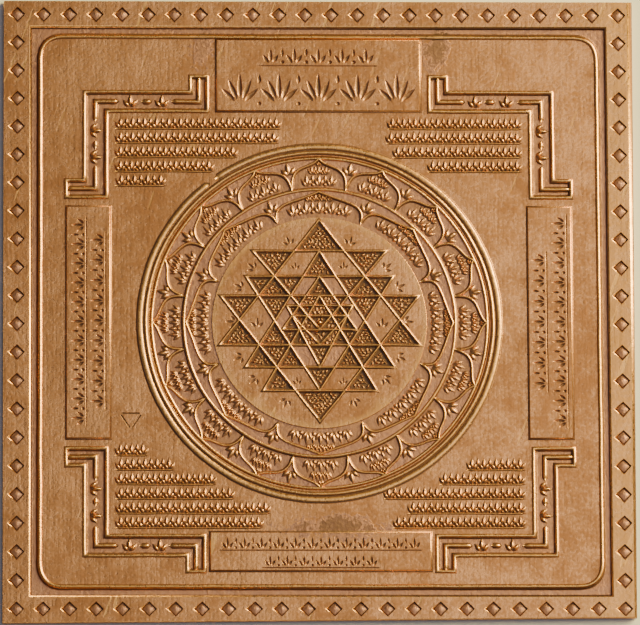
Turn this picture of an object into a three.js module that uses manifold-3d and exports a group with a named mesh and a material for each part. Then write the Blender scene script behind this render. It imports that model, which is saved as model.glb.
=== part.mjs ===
// A square copper plate worked in low relief with the nine-triangle yantra, modelled in millimetres.
// The plate lies flat, face up: +X to the right, +Y to the top of the figure, +Z out of the face.
// The origin is at the middle of the plate's back.

import * as THREE from 'three';
import { mergeVertices } from 'three/addons/utils/BufferGeometryUtils.js';
import Module from 'manifold-3d';

const wasm = await Module();
wasm.setup();

// Sheet
const plateWidth = 76.2;
const plateHeight = 76.2;
const sheetThickness = 0.7;
const cornerFallX = 0.35;
const cornerFallY = 0.65;

// Heights of the worked figures above what they stand on
const reliefHeight = 0.35;
const medallionDepth = 0.14;
const petalHeight = 0.4;
const starLineHeight = 0.18;

// Border band, pierced by lozenges with a small pyramid in each
const bandWidth = 3.4;
const lozengeInset = 1.7;
const lozengesAcross = 24;
const lozengesDown = 22;
const lozengeDiagonal = 1.75;
const pyramidClearance = 0.25;
const pyramidHeight = 0.28;
const pyramidRoot = 0.05;

// Rounded rib inside the band
const ribInset = 4.45;
const ribWidth = 0.6;
const ribCornerRadius = 2.9;
const ribCornerSteps = 8;

// The figure is struck a little off the middle of the sheet
const figureX = -0.05;
const figureY = -1.53;

// Four bare plaques
const titleWidth = 24.8;
const titleHeight = 8.95;
const baseWidth = 26.6;
const baseHeight = 4.8;
const sideWidth = 5.4;
const sideHeight = 28.5;

// Gates: three parallel lines round each corner, stepped outwards at both ends and closed by a cap
const gateMarginX = 7.6;
const gateMarginY = 7.8;
const gateLine = 0.5;
const gateStepX = 2.2;
const gateStepY = 1.92;
const gatePitchX = 1.35;
const gatePitchY = 1.2;
const armPitch = 1.05;
const titleClearance = 0.75;
const baseClearance = 0.35;
const sideClearance = 0.87;

// Circles of the medallion, from the outside inwards
const circleSteps = 80;
const medallionClearance = 3.15;
const wideLine = 0.65;
const narrowLine = 0.4;
const circlePitch = 0.71;
const recessClearance = 0.1;

// Petals between the circles
const outerPetals = 16;
const innerPetals = 8;
const outerPetalBand = 3.85;
const innerPetalBand = 3.4;
const petalLine = 0.35;
const petalSteps = 8;
const petalRoot = 0.1;
const petalGap = 0.3;

// Nine interlocking triangles on the disc. Such a star is laid out within its circle, so its lines,
// levels and half widths are shares of the disc's radius, counted from its middle.
const baseLineShare = 0.026;
const sideLineShare = 0.021;
const cellClearanceShare = 0.0025;
const smallestCellShare = 0.009;
const missedMeeting = 0.03;
const levels = {
  top: 0.97, one: 0.678, two: 0.437, three: 0.252, four: 0.159, five: 0.063,
  six: -0.068, seven: -0.213, eight: -0.423, nine: -0.644, bottom: -0.937,
};
const halfWidths = {
  one: 0.623, two: 0.686, three: 0.921, four: 0.307, five: 0.255,
  six: 0.345, seven: 0.935, eight: 0.694, nine: 0.528,
};

// Bindu, the dot at the star's heart
const binduShare = 0.0185;
const binduHeight = 0.3;
const binduSides = 16;

// Sizes that follow from those above
const ribHalfX = plateWidth / 2 - ribInset;
const ribHalfY = plateHeight / 2 - ribInset;
const gateReachX = plateWidth / 2 - gateMarginX;
const gateReachY = plateHeight / 2 - gateMarginY;
const gateLinesX = [0, 1, 2].map((line) => gateReachX - gateStepX - line * gatePitchX);
const gateLinesY = [0, 1, 2].map((line) => gateReachY - gateStepY - line * gatePitchY);
const roomBeside = gateReachX - sideWidth - medallionClearance;
const roomBelow = gateReachY - baseHeight - medallionClearance;
const wideRadius = Math.min(roomBeside, roomBelow) - wideLine / 2;
const secondRadius = wideRadius - circlePitch;
const thirdRadius = secondRadius - circlePitch;
const middleRadius = thirdRadius - outerPetalBand;
const discRadius = middleRadius - innerPetalBand;
const baseLine = baseLineShare * discRadius;
const sideLine = sideLineShare * discRadius;
const cellInset = baseLine / 2 + cellClearanceShare * discRadius;
const smallestCell = smallestCellShare * discRadius;
const binduRadius = binduShare * discRadius;
const recessRadius = thirdRadius + narrowLine / 2 + recessClearance;
const floorLevel = sheetThickness - medallionDepth;

const copper = { color: 0xc38f5a, roughness: 0.42, metalness: 0.9 };
const darkCopper = { color: 0xa9774c, roughness: 0.5, metalness: 0.85 };

const group = new THREE.Group();

function addPiece(name, geometry, finish, level = sheetThickness) {
  const mesh = new THREE.Mesh(geometry, new THREE.MeshStandardMaterial(finish));
  mesh.name = name;
  mesh.position.z = level;
  group.add(mesh);
}

// Turns a closed geometry into a solid that can be joined and cut
function toSolid(geometry) {
  const bare = geometry.clone();
  bare.deleteAttribute('normal');
  bare.deleteAttribute('uv');
  const merged = mergeVertices(bare, 1e-5);
  return new wasm.Manifold(new wasm.Mesh({
    numProp: 3,
    vertProperties: new Float32Array(merged.attributes.position.array),
    triVerts: new Uint32Array(merged.index.array),
  }));
}

function toGeometry(solid) {
  const mesh = solid.getMesh();
  const geometry = new THREE.BufferGeometry();
  geometry.setAttribute('position', new THREE.BufferAttribute(new Float32Array(mesh.vertProperties), 3));
  geometry.setIndex(new THREE.BufferAttribute(new Uint32Array(mesh.triVerts), 1));
  geometry.computeVertexNormals();
  return geometry;
}

function extrude(outline, height) {
  return new THREE.ExtrudeGeometry(outline, { depth: height, bevelEnabled: false, curveSegments: 1 });
}

// Joins outlines into one raised figure. Each is drawn overlong by its own amount and all are trimmed
// level together, so that no two of their faces lie on each other while they are joined.
function raise(outlines, height) {
  const bars = outlines.map((outline, i) => {
    const spare = height * (1 + i / outlines.length);
    const bar = extrude(outline, height + 2 * spare);
    bar.translate(0, 0, -spare);
    return toSolid(bar);
  });
  const slab = new THREE.BoxGeometry(plateWidth, plateHeight, height);
  slab.translate(0, 0, height / 2);
  const joined = bars.reduce((solid, bar) => solid.add(bar));
  return toGeometry(joined.intersect(toSolid(slab)));
}

// The line through the points moved sideways, to its left, with mitred corners
function offsetLine(points, distance, closed) {
  const last = points.length - 1;
  return points.map((point, i) => {
    const isStart = i === 0 && !closed;
    const isEnd = i === last && !closed;
    const before = i === 0 ? points[last] : points[i - 1];
    const after = i === last ? points[0] : points[i + 1];
    const arriving = point.clone().sub(before).normalize();
    const leaving = after.clone().sub(point).normalize();
    const first = isStart ? leaving : arriving;
    const second = isEnd ? arriving : leaving;
    const mitre = new THREE.Vector2(-first.y - second.y, first.x + second.x).normalize();
    const spread = mitre.dot(new THREE.Vector2(-first.y, first.x));
    return point.clone().addScaledVector(mitre, distance / spread);
  });
}

// The outline of a line of even width along the points
function stripe(points, width, closed = false) {
  const left = offsetLine(points, width / 2, closed);
  const right = offsetLine(points, -width / 2, closed).reverse();
  if (!closed) return new THREE.Shape([...left, ...right]);
  const leftIsOutside = Math.abs(THREE.ShapeUtils.area(left)) > Math.abs(THREE.ShapeUtils.area(right));
  const outline = new THREE.Shape(leftIsOutside ? left : right);
  outline.holes.push(new THREE.Path(leftIsOutside ? right : left));
  return outline;
}

function figurePoint(x, y) {
  return new THREE.Vector2(figureX + x, figureY + y);
}

// A point of the medallion: the angle is counted from the top, clockwise
function roundPoint(radius, angle) {
  return figurePoint(radius * Math.sin(angle), radius * Math.cos(angle));
}

function roundLoop(radius) {
  return Array.from({ length: circleSteps }, (_, i) => roundPoint(radius, (2 * Math.PI * i) / circleSteps));
}

function rectangle(left, bottom, width, height) {
  return [
    new THREE.Vector2(left, bottom),
    new THREE.Vector2(left + width, bottom),
    new THREE.Vector2(left + width, bottom + height),
    new THREE.Vector2(left, bottom + height),
  ];
}

// The sheet was cut by hand, and its lower right corner falls a little short
function sheetOutline() {
  const corners = rectangle(-plateWidth / 2, -plateHeight / 2, plateWidth, plateHeight);
  corners[1].add(new THREE.Vector2(-cornerFallX, cornerFallY));
  return new THREE.Shape(corners);
}

function lozengeCentres() {
  const x = plateWidth / 2 - lozengeInset;
  const y = plateHeight / 2 - lozengeInset;
  const centres = [];
  for (let i = 0; i < lozengesAcross; i += 1) {
    const along = x * ((2 * i) / (lozengesAcross - 1) - 1);
    centres.push(new THREE.Vector2(along, y), new THREE.Vector2(along, -y));
  }
  for (let i = 1; i < lozengesDown - 1; i += 1) {
    const along = y * ((2 * i) / (lozengesDown - 1) - 1);
    centres.push(new THREE.Vector2(x, along), new THREE.Vector2(-x, along));
  }
  return centres;
}

function lozenge(centre, reach) {
  const corners = [[reach, 0], [0, reach], [-reach, 0], [0, -reach]];
  return corners.map(([x, y]) => new THREE.Vector2(centre.x + x, centre.y + y));
}

// Ground sheet: the round recess of the medallion is sunk into it, and the small pyramids of the
// border lozenges stand on it
function groundSheet() {
  const recess = new THREE.CylinderGeometry(recessRadius, recessRadius, 2 * medallionDepth, circleSteps);
  recess.rotateX(Math.PI / 2);
  recess.translate(figureX, figureY, sheetThickness);
  let solid = toSolid(extrude(sheetOutline(), sheetThickness)).subtract(toSolid(recess));
  for (const centre of lozengeCentres()) {
    const height = pyramidHeight + pyramidRoot;
    const pyramid = new THREE.ConeGeometry(lozengeDiagonal / 2 - pyramidClearance, height, 4);
    pyramid.rotateX(Math.PI / 2);
    pyramid.translate(centre.x, centre.y, sheetThickness + height / 2 - pyramidRoot);
    solid = solid.add(toSolid(pyramid));
  }
  return toGeometry(solid);
}

function borderBand() {
  const outline = sheetOutline();
  const innerX = plateWidth / 2 - bandWidth;
  const innerY = plateHeight / 2 - bandWidth;
  outline.holes.push(new THREE.Path(rectangle(-innerX, -innerY, 2 * innerX, 2 * innerY)));
  for (const centre of lozengeCentres()) {
    outline.holes.push(new THREE.Path(lozenge(centre, lozengeDiagonal / 2)));
  }
  return extrude(outline, reliefHeight);
}

function frameRib() {
  const points = [];
  const corners = [[1, 1], [-1, 1], [-1, -1], [1, -1]];
  corners.forEach(([signX, signY], quarter) => {
    const x = signX * (ribHalfX - ribCornerRadius);
    const y = signY * (ribHalfY - ribCornerRadius);
    for (let i = 0; i <= ribCornerSteps; i += 1) {
      const angle = (quarter + i / ribCornerSteps) * (Math.PI / 2);
      points.push(new THREE.Vector2(
        x + ribCornerRadius * Math.cos(angle),
        y + ribCornerRadius * Math.sin(angle),
      ));
    }
  });
  return extrude(stripe(points, ribWidth, true), reliefHeight);
}

function plaque(left, bottom, width, height) {
  return extrude(new THREE.Shape(rectangle(left, bottom, width, height)), reliefHeight);
}

function titlePlaque() {
  const top = ribHalfY - ribWidth / 2;
  return plaque(figureX - titleWidth / 2, top - titleHeight, titleWidth, titleHeight);
}

function basePlaque() {
  return plaque(figureX - baseWidth / 2, figureY - gateReachY, baseWidth, baseHeight);
}

// side is -1 at the left and 1 at the right
function sidePlaque(side) {
  const middle = figureX + side * (gateReachX - sideWidth / 2);
  return plaque(middle - sideWidth / 2, figureY - sideHeight / 2, sideWidth, sideHeight);
}

// Where a gate's three arms run beside a plaque that reaches so far, outermost first
function armPlaces(plaqueReach, clearance) {
  const nearest = plaqueReach + clearance + gateLine / 2;
  return [2, 1, 0].map((arm) => nearest + arm * armPitch);
}

const topArms = armPlaces(titleWidth / 2, titleClearance);
const bottomArms = armPlaces(baseWidth / 2, baseClearance);
const sideArms = armPlaces(sideHeight / 2, sideClearance);

// side is -1 at the left and 1 at the right, rise is -1 at the bottom and 1 at the top
function gateOutline(side, rise) {
  const uprights = rise > 0 ? topArms : bottomArms;
  const corners = [
    [uprights[0], gateReachY], [uprights[0], gateLinesY[0]], [gateLinesX[0], gateLinesY[0]],
    [gateLinesX[0], sideArms[0]], [gateReachX, sideArms[0]], [gateReachX, sideArms[2]],
    [gateLinesX[2], sideArms[2]], [gateLinesX[2], gateLinesY[2]], [uprights[2], gateLinesY[2]],
    [uprights[2], gateReachY],
  ];
  const points = corners.map(([x, y]) => figurePoint(side * x, rise * y));
  return extrude(stripe(points, gateLine, true), reliefHeight);
}

function gateMiddleLine(side, rise) {
  const uprights = rise > 0 ? topArms : bottomArms;
  const corners = [
    [uprights[1], gateReachY - gateLine / 2], [uprights[1], gateLinesY[1]], [gateLinesX[1], gateLinesY[1]],
    [gateLinesX[1], sideArms[1]], [gateReachX - gateLine / 2, sideArms[1]],
  ];
  const points = corners.map(([x, y]) => figurePoint(side * x, rise * y));
  return extrude(stripe(points, gateLine), reliefHeight);
}

// One side of an ogee petal, from the cusp at its foot to the point at its tip
function petalSide(foot, tip, middleAngle, halfAngle, side) {
  const rise = tip - foot;
  return new THREE.CubicBezierCurve(
    roundPoint(foot, middleAngle + side * halfAngle),
    roundPoint(foot + 0.85 * rise, middleAngle + side * 1.02 * halfAngle),
    roundPoint(foot + 0.72 * rise, middleAngle + side * 0.3 * halfAngle),
    roundPoint(tip, middleAngle),
  ).getPoints(petalSteps);
}

function petalOutlines(count, foot, tip) {
  return Array.from({ length: count }, (_, i) => {
    const middleAngle = (2 * Math.PI * i) / count;
    const left = petalSide(foot, tip, middleAngle, Math.PI / count, -1);
    const right = petalSide(foot, tip, middleAngle, Math.PI / count, 1).reverse();
    return stripe([...left, ...right.slice(1)], petalLine);
  });
}

function sixteenPetalRing() {
  return raise([
    stripe(roundLoop(thirdRadius), narrowLine, true),
    stripe(roundLoop(middleRadius), narrowLine, true),
    ...petalOutlines(outerPetals, middleRadius + petalRoot, thirdRadius - petalRoot),
  ], petalHeight);
}

function eightPetalRing() {
  const foot = discRadius + petalGap;
  const tip = middleRadius - narrowLine / 2 - petalGap - petalLine;
  return raise(petalOutlines(innerPetals, foot, tip), petalHeight);
}

// The nine triangles, as the level and half width of the base and the level of the point
function starTriangles() {
  const { top, one, two, three, four, five, six, seven, eight, nine, bottom } = levels;
  const triangles = [
    [one, halfWidths.one, six], [two, halfWidths.two, nine], [three, halfWidths.three, bottom],
    [four, halfWidths.four, eight], [five, halfWidths.five, seven], [six, halfWidths.six, two],
    [seven, halfWidths.seven, top], [eight, halfWidths.eight, one], [nine, halfWidths.nine, three],
  ];
  return triangles.map((triangle) => triangle.map((share) => share * discRadius));
}

// A triangle's corners moved outwards by half its lines, or inwards where grow is -1
function triangleCorners([base, halfWidth, point], grow) {
  const rise = Math.sign(point - base);
  const lean = Math.atan(halfWidth / Math.abs(point - base));
  const tip = point + (rise * grow * sideLine) / 2 / Math.sin(lean);
  const foot = base - (rise * grow * baseLine) / 2;
  const reach = Math.tan(lean) * Math.abs(tip - foot);
  return [figurePoint(-reach, foot), figurePoint(reach, foot), figurePoint(0, tip)];
}

function nineTriangleStar() {
  const outlines = starTriangles().map((triangle) => {
    const outline = new THREE.Shape(triangleCorners(triangle, 1));
    outline.holes.push(new THREE.Path(triangleCorners(triangle, -1).reverse()));
    return outline;
  });
  return raise(outlines, starLineHeight);
}

// Where two sides meet, or null. Each may be lengthened by a share of itself.
function meeting([a, b], [c, d], lengthening = 0) {
  const along = b.clone().sub(a);
  const other = d.clone().sub(c);
  const scale = along.cross(other);
  const across = c.clone().sub(a);
  const places = [across.cross(other) / scale, across.cross(along) / scale];
  const meets = places.every((place) => place >= -lengthening && place <= 1 + lengthening);
  return meets ? a.clone().addScaledVector(along, places[0]) : null;
}

function edges(corners) {
  return corners.map((corner, i) => [corner, corners[(i + 1) % corners.length]]);
}

// The radius of the circle that fits inside three corners, negative where they run clockwise
function inscribedRadius(corners) {
  const girth = edges(corners).reduce((sum, [start, end]) => sum + start.distanceTo(end), 0);
  return (2 * THREE.ShapeUtils.area(corners)) / girth;
}

// Tells whether a side runs through the core of a cell
function crosses(side, corners) {
  const sum = corners.reduce((total, corner) => total.add(corner), new THREE.Vector2());
  const middle = sum.divideScalar(corners.length);
  const core = corners.map((corner) => corner.clone().lerp(middle, 0.3));
  return edges(core).some((edge) => meeting(side, edge) !== null);
}

// The small triangles that the star's lines enclose and no line crosses, as corners anticlockwise
function starCells() {
  const sides = starTriangles().flatMap(([base, halfWidth, point]) => {
    const corners = [figurePoint(-halfWidth, base), figurePoint(halfWidth, base), figurePoint(0, point)];
    return edges(corners);
  });
  const cells = [];
  sides.forEach((first, i) => sides.slice(i + 1).forEach((second, j) => {
    for (const third of sides.slice(i + j + 2)) {
      const pairs = [[first, second], [second, third], [third, first]];
      const corners = pairs.map(([side, other]) => meeting(side, other, missedMeeting));
      if (!corners.includes(null)) cells.push(corners);
    }
  }));
  return cells
    .map((corners) => (inscribedRadius(corners) < 0 ? corners.reverse() : corners))
    .filter((corners) => inscribedRadius(corners) > cellInset + smallestCell)
    .filter((corners) => !sides.some((side) => crosses(side, corners)));
}

// The raised disc of the star, pierced by its small triangles
function starDisc() {
  let solid = toSolid(extrude(new THREE.Shape(roundLoop(discRadius)), medallionDepth));
  for (const corners of starCells()) {
    const cell = new THREE.Shape(offsetLine(corners, cellInset, true));
    const cutter = extrude(cell, 3 * medallionDepth);
    cutter.translate(0, 0, -medallionDepth);
    solid = solid.subtract(toSolid(cutter));
  }
  return toGeometry(solid);
}

function bindu() {
  const dot = new THREE.CylinderGeometry(binduRadius, binduRadius, binduHeight, binduSides);
  dot.rotateX(Math.PI / 2);
  dot.translate(figureX, figureY, binduHeight / 2);
  return dot;
}

addPiece('ground_sheet', groundSheet(), copper, 0);
addPiece('border_band', borderBand(), copper);
addPiece('frame_rib', frameRib(), copper);
addPiece('title_plaque', titlePlaque(), copper);
addPiece('base_plaque', basePlaque(), copper);
addPiece('left_plaque', sidePlaque(-1), copper);
addPiece('right_plaque', sidePlaque(1), copper);
for (const [corner, side, rise] of [
  ['top_left', -1, 1], ['top_right', 1, 1], ['bottom_left', -1, -1], ['bottom_right', 1, -1],
]) {
  addPiece(`${corner}_gate_outline`, gateOutline(side, rise), copper);
  addPiece(`${corner}_gate_middle_line`, gateMiddleLine(side, rise), copper);
}
addPiece('outer_circle', extrude(stripe(roundLoop(wideRadius), wideLine, true), reliefHeight), copper);
addPiece('second_circle', extrude(stripe(roundLoop(secondRadius), narrowLine, true), reliefHeight), copper);
addPiece('sixteen_petal_ring', sixteenPetalRing(), copper, floorLevel);
addPiece('eight_petal_ring', eightPetalRing(), copper, floorLevel);
addPiece('star_disc', starDisc(), darkCopper, floorLevel);
addPiece('nine_triangle_star', nineTriangleStar(), darkCopper);
addPiece('bindu', bindu(), darkCopper, floorLevel);

export default group;
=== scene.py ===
"""A struck copper yantra plate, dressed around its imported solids."""

import math

import bmesh
import bpy
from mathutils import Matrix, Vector, noise
from mathutils.geometry import delaunay_2d_cdt


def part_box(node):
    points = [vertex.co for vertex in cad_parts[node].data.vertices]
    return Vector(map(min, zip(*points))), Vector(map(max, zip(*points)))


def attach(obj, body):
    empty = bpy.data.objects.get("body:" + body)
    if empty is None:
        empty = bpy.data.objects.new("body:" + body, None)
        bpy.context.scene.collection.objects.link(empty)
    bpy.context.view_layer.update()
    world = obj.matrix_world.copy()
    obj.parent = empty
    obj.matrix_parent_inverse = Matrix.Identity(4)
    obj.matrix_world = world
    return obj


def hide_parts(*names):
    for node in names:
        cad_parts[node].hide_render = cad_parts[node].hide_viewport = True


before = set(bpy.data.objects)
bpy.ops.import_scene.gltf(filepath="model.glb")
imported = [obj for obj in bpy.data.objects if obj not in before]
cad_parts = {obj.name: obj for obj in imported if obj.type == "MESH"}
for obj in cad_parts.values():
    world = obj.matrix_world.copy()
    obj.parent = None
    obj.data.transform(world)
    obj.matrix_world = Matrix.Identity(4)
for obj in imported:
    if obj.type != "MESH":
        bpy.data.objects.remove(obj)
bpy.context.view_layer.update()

# Without a seed Blender starts its vector noise from the clock
noise.seed_set(5)

bl_info = {
    "name": "Copper Yantra Plate",
    "version": (1, 0, 0),
    "blender": (4, 5, 0),
    "location": "3D View > Sidebar > Yantra",
    "description": "Works a copper yantra plate in low relief and sets its studio",
    "category": "Object",
}

MM = 0.001


def flat_box(node):
    """The left, bottom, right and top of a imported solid."""
    low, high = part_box(node)
    return low.x, low.y, high.x, high.y


def ring_radius(node, line=0.0):
    """The radius of a packed ring, in the middle of its outmost line."""
    left, _, right, _ = flat_box(node)
    return (right - left) / 2 - line / 2


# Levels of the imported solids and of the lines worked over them
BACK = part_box("ground_sheet")[0].z
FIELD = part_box("border_band")[0].z
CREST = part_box("border_band")[1].z
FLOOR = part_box("sixteen_petal_ring")[0].z
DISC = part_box("star_disc")[1].z
STAR_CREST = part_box("nine_triangle_star")[1].z
LINE_CREST = FIELD + 0.24 * MM
LOW_LINE_CREST = LINE_CREST - 0.04 * MM
WIDE_LINE_CREST = LINE_CREST - 0.08 * MM
VEIN_CREST = FLOOR + 0.26 * MM
OUTER_GROUND = FLOOR + 0.06 * MM
INNER_GROUND = FLOOR + 0.08 * MM

# Directions along the plate
ALONG = Vector((1, 0))
UP = Vector((0, 1))

# Widths of the lines, and half the width of the soft ridge that is worked over each
WIDE_LINE = 0.65 * MM
NARROW_LINE = 0.4 * MM
PETAL_LINE = 0.3 * MM
STAR_LINE = 0.26 * MM
FRAME_LINE = 0.6 * MM
GATE_LINE = 0.5 * MM
WIDE_HALF = WIDE_LINE / 2 + 0.02 * MM
NARROW_HALF = NARROW_LINE / 2 + 0.03 * MM
PETAL_HALF = PETAL_LINE / 2 + 0.04 * MM
STAR_HALF = STAR_LINE / 2 + 0.02 * MM
RIB_HALF = FRAME_LINE / 2 + 0.03 * MM
GATE_HALF = GATE_LINE / 2 + 0.03 * MM
UNEVEN = 0.06

# Middle of the medallion and the circles about it
RING_BOX = flat_box("outer_circle")
CENTRE = Vector(((RING_BOX[0] + RING_BOX[2]) / 2, (RING_BOX[1] + RING_BOX[3]) / 2))
WIDE_RADIUS = ring_radius("outer_circle", WIDE_LINE)
SECOND_RADIUS = ring_radius("second_circle", NARROW_LINE)
THIRD_RADIUS = ring_radius("sixteen_petal_ring", NARROW_LINE)
PETAL_BAND = 3.85 * MM
MIDDLE_RADIUS = THIRD_RADIUS - PETAL_BAND
DISC_RADIUS = ring_radius("star_disc")
RECESS_RADIUS = THIRD_RADIUS + 0.3 * MM
OUTER_PETALS = 16
INNER_PETALS = 8

# A nick in the widest circle, counted from the top, clockwise
NICK_PLACE = math.radians(-36.5)
NICK_WIDTH = 0.75 * MM

# The rib inside the band
RIB_CORNER = 2.9 * MM

# Lines of the gates
GATE_STEP = Vector((2.2, 1.92)) * MM
GATE_PITCH = Vector((1.35, 1.2)) * MM
ARM_PITCH = 1.05 * MM
TITLE_CLEARANCE = 0.75 * MM
BASE_CLEARANCE = 0.35 * MM
SIDE_CLEARANCE = 0.87 * MM

# The star, as shares of the disc's radius
LEVELS = {
    "top": 0.97, "one": 0.678, "two": 0.437, "three": 0.252, "four": 0.159, "five": 0.063,
    "six": -0.068, "seven": -0.213, "eight": -0.423, "nine": -0.644, "bottom": -0.937,
}
TRIANGLES = (
    ("one", 0.623, "six"), ("two", 0.686, "nine"), ("three", 0.921, "bottom"), ("four", 0.307, "eight"),
    ("five", 0.255, "seven"), ("six", 0.345, "two"), ("seven", 0.935, "top"), ("eight", 0.694, "one"),
    ("nine", 0.528, "three"),
)

# Marks in the star's open fields, as shares of the disc's radius, with their height in mm
OPEN_FIELD_MARKS = ((0.225, 0.54, 1.1), (0.58, 0.0, 1.5), (0.215, -0.55, 1.1))
PUNCH_PITCH = 0.42 * MM
CROWD_RADIUS = 3.6 * MM

# Rows of palmettes in a petal, in mm: how far above its foot, how long and how tall
OUTER_PETAL_ROWS = ((0.4, 4.3, 1.3), (1.85, 2.5, 0.9), (2.85, 0.8, 0.75))
INNER_PETAL_ROWS = ((0.4, 7.6, 1.4), (1.95, 3.4, 0.85))

# Copper oxide that fills the corners
CORNER_BROWN = (0.12, 0.06, 0.035, 1.0)

# Tarnish of the dirt along a foot, of the sunk floors and raised grounds, and of what fingers rub on the
# crests, with a painted sheen on the band's right side, where the key light falls
FOOT_DIRT = 0.85
# Darkening of the ring round the foot of each raised figure
SKIRT_DARKENING = 0.36
TRENCH_TARNISH = 0.36
TRENCH_DIRT = 0.9
CHANNEL_TARNISH = 0.3
PETAL_TARNISH = 0.6
GROUND_TARNISH = 0.46
DISC_TARNISH = -0.18
CELL_TARNISH = 0.8
STAR_GLOOM = 0.95
GLOOM_RADIUS = 8.2 * MM
# Painted sheen: the band's crest is drawn towards the rubbed colour at its right side, where the key light
# falls
BAND_SHEEN = -0.14
SHEEN_SIDE = 28 * MM
SHEEN_REACH = 6 * MM
RUBBED = -0.3

# Brown stains over the base panel and beside the title panel, in mm: middle, half size and strength
STAINS = (
    ((1.7, -26.3), (5.4, 1.5), 0.66),
    ((14.3, 31.9), (2.0, 2.6), 0.62),
    ((-14.1, 31.9), (1.4, 2.5), 0.52),
)

# Depths of what is sunk into a surface
CHANNEL_DEPTH = 0.1 * MM
ENGRAVING = 0.2 * MM
SUNK = 0.02 * MM

CORNERS = ("top_left", "top_right", "bottom_left", "bottom_right")

# Rows of small palmettes: the length of each row of a block, from the top down
ROW_PITCH = 1.76 * MM
ROW_HEIGHT = 1.22 * MM
ROW_BLOCKS = {
    (-1, 1): (20.2, 19.9, 14.9, 12.0, 6.3),
    (1, 1): (16.4, 16.6, 15.8, 11.6),
    (-1, -1): (4.0, 7.2, 12.2, 14.4, 18.7, 17.8),
    (1, -1): (7.2, 10.5, 17.2, 14.3, 16.1),
}

# Columns of the side panels, in mm: the foot of the leaves from the left edge, the gap above, the length
COLUMN_WIDTH = 1.9 * MM
LEFT_COLUMNS = ((2.45, 1.2, 26.0), (4.75, 3.0, 22.2))
RIGHT_COLUMNS = ((2.3, 5.4, 17.6), (4.75, 0.9, 26.6))

# Places round the star, in degrees from the top, that hold an engraved palmette
RIM_MARKS = (20.5, 50.0, 65.5, 89.5, 114.0, 131.5, 157.0)
RIM_MARK_FOOT = 10.0 * MM
RIM_MARK_HEIGHT = 1.45 * MM

# The studio: half the floor's side and its gap under the plate, and each lamp's place, size and colour
FLOOR_HALF = 1.2
FLOOR_GAP = 0.1 * MM
FLOOR_PAPER = (0.8, 0.77, 0.83, 1)
FLOOR_ROUGHNESS = 0.9
KEY_LAMP = ((0.47, 0.25, 0.27), (0.4, 0.45), (1.0, 0.84, 0.28))
OVERHEAD_LAMP = ((0.225, 0.01, 0.75), (0.6, 0.45), (1.0, 0.985, 0.94))
AIR_COLOUR = (0.97, 0.97, 1.0, 1)
AIR_STRENGTH = 0.12

# The camera: its place, its turn in radians, and its sensor and lens in mm
CAMERA_PLACE = (-33.7 * MM, -175.05 * MM, 901.0 * MM)
CAMERA_TURN = (0.1918, -0.0363, -0.0058)
CAMERA_SENSOR = 36.0
CAMERA_LENS = 429.0
CAMERA_NEAR = 0.01


class Wire:
    """A node socket that can be added, multiplied and compared like a number."""

    def __init__(self, tree, socket):
        self.tree = tree
        self.socket = socket

    def math(self, operation, other, swap=False):
        node = self.tree.nodes.new("ShaderNodeMath")
        node.operation = operation
        for slot, value in zip(node.inputs, (other, self) if swap else (self, other)):
            if isinstance(value, Wire):
                self.tree.links.new(value.socket, slot)
            else:
                slot.default_value = value
        return Wire(self.tree, node.outputs[0])

    def __add__(self, other):
        return self.math("ADD", other)

    __radd__ = __add__

    def __mul__(self, other):
        return self.math("MULTIPLY", other)

    __rmul__ = __mul__

    def __sub__(self, other):
        return self.math("SUBTRACT", other)

    def __rsub__(self, other):
        return self.math("SUBTRACT", other, swap=True)


class Finish:
    """A material under construction, with one method that adds any node."""

    def __init__(self, name):
        self.material = bpy.data.materials.new(name)
        self.material.use_nodes = True
        self.tree = self.material.node_tree
        self.shader = self.tree.nodes["Principled BSDF"]

    def node(self, kind, settings=None, output=0, **inputs):
        node = self.tree.nodes.new(kind)
        for key, value in (settings or {}).items():
            setattr(node, key, value)
        for key, value in inputs.items():
            slot = node.inputs[int(key[1:]) if key[0] == "_" else key.replace("_", " ")]
            if isinstance(value, Wire):
                self.tree.links.new(value.socket, slot)
            else:
                slot.default_value = value
        return Wire(self.tree, node.outputs[output])

    def noise(self, place, scale, detail, roughness=0.5):
        return self.node("ShaderNodeTexNoise", Vector=place, Scale=scale, Detail=detail,
                         Roughness=roughness)

    def step(self, value, low, high):
        """Runs smoothly from 0 to 1 as the value goes from low to high."""
        return self.node("ShaderNodeMapRange", {"interpolation_type": "SMOOTHSTEP"}, Value=value,
                         From_Min=low, From_Max=high)

    def mix(self, share, first, second):
        """Goes from the first colour to the second."""
        return self.node("ShaderNodeMix", {"data_type": "RGBA"}, output=2, _0=share, _6=first, _7=second)

    def feed(self, slot, wire):
        self.tree.links.new(wire.socket, self.shader.inputs[slot])


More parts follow.
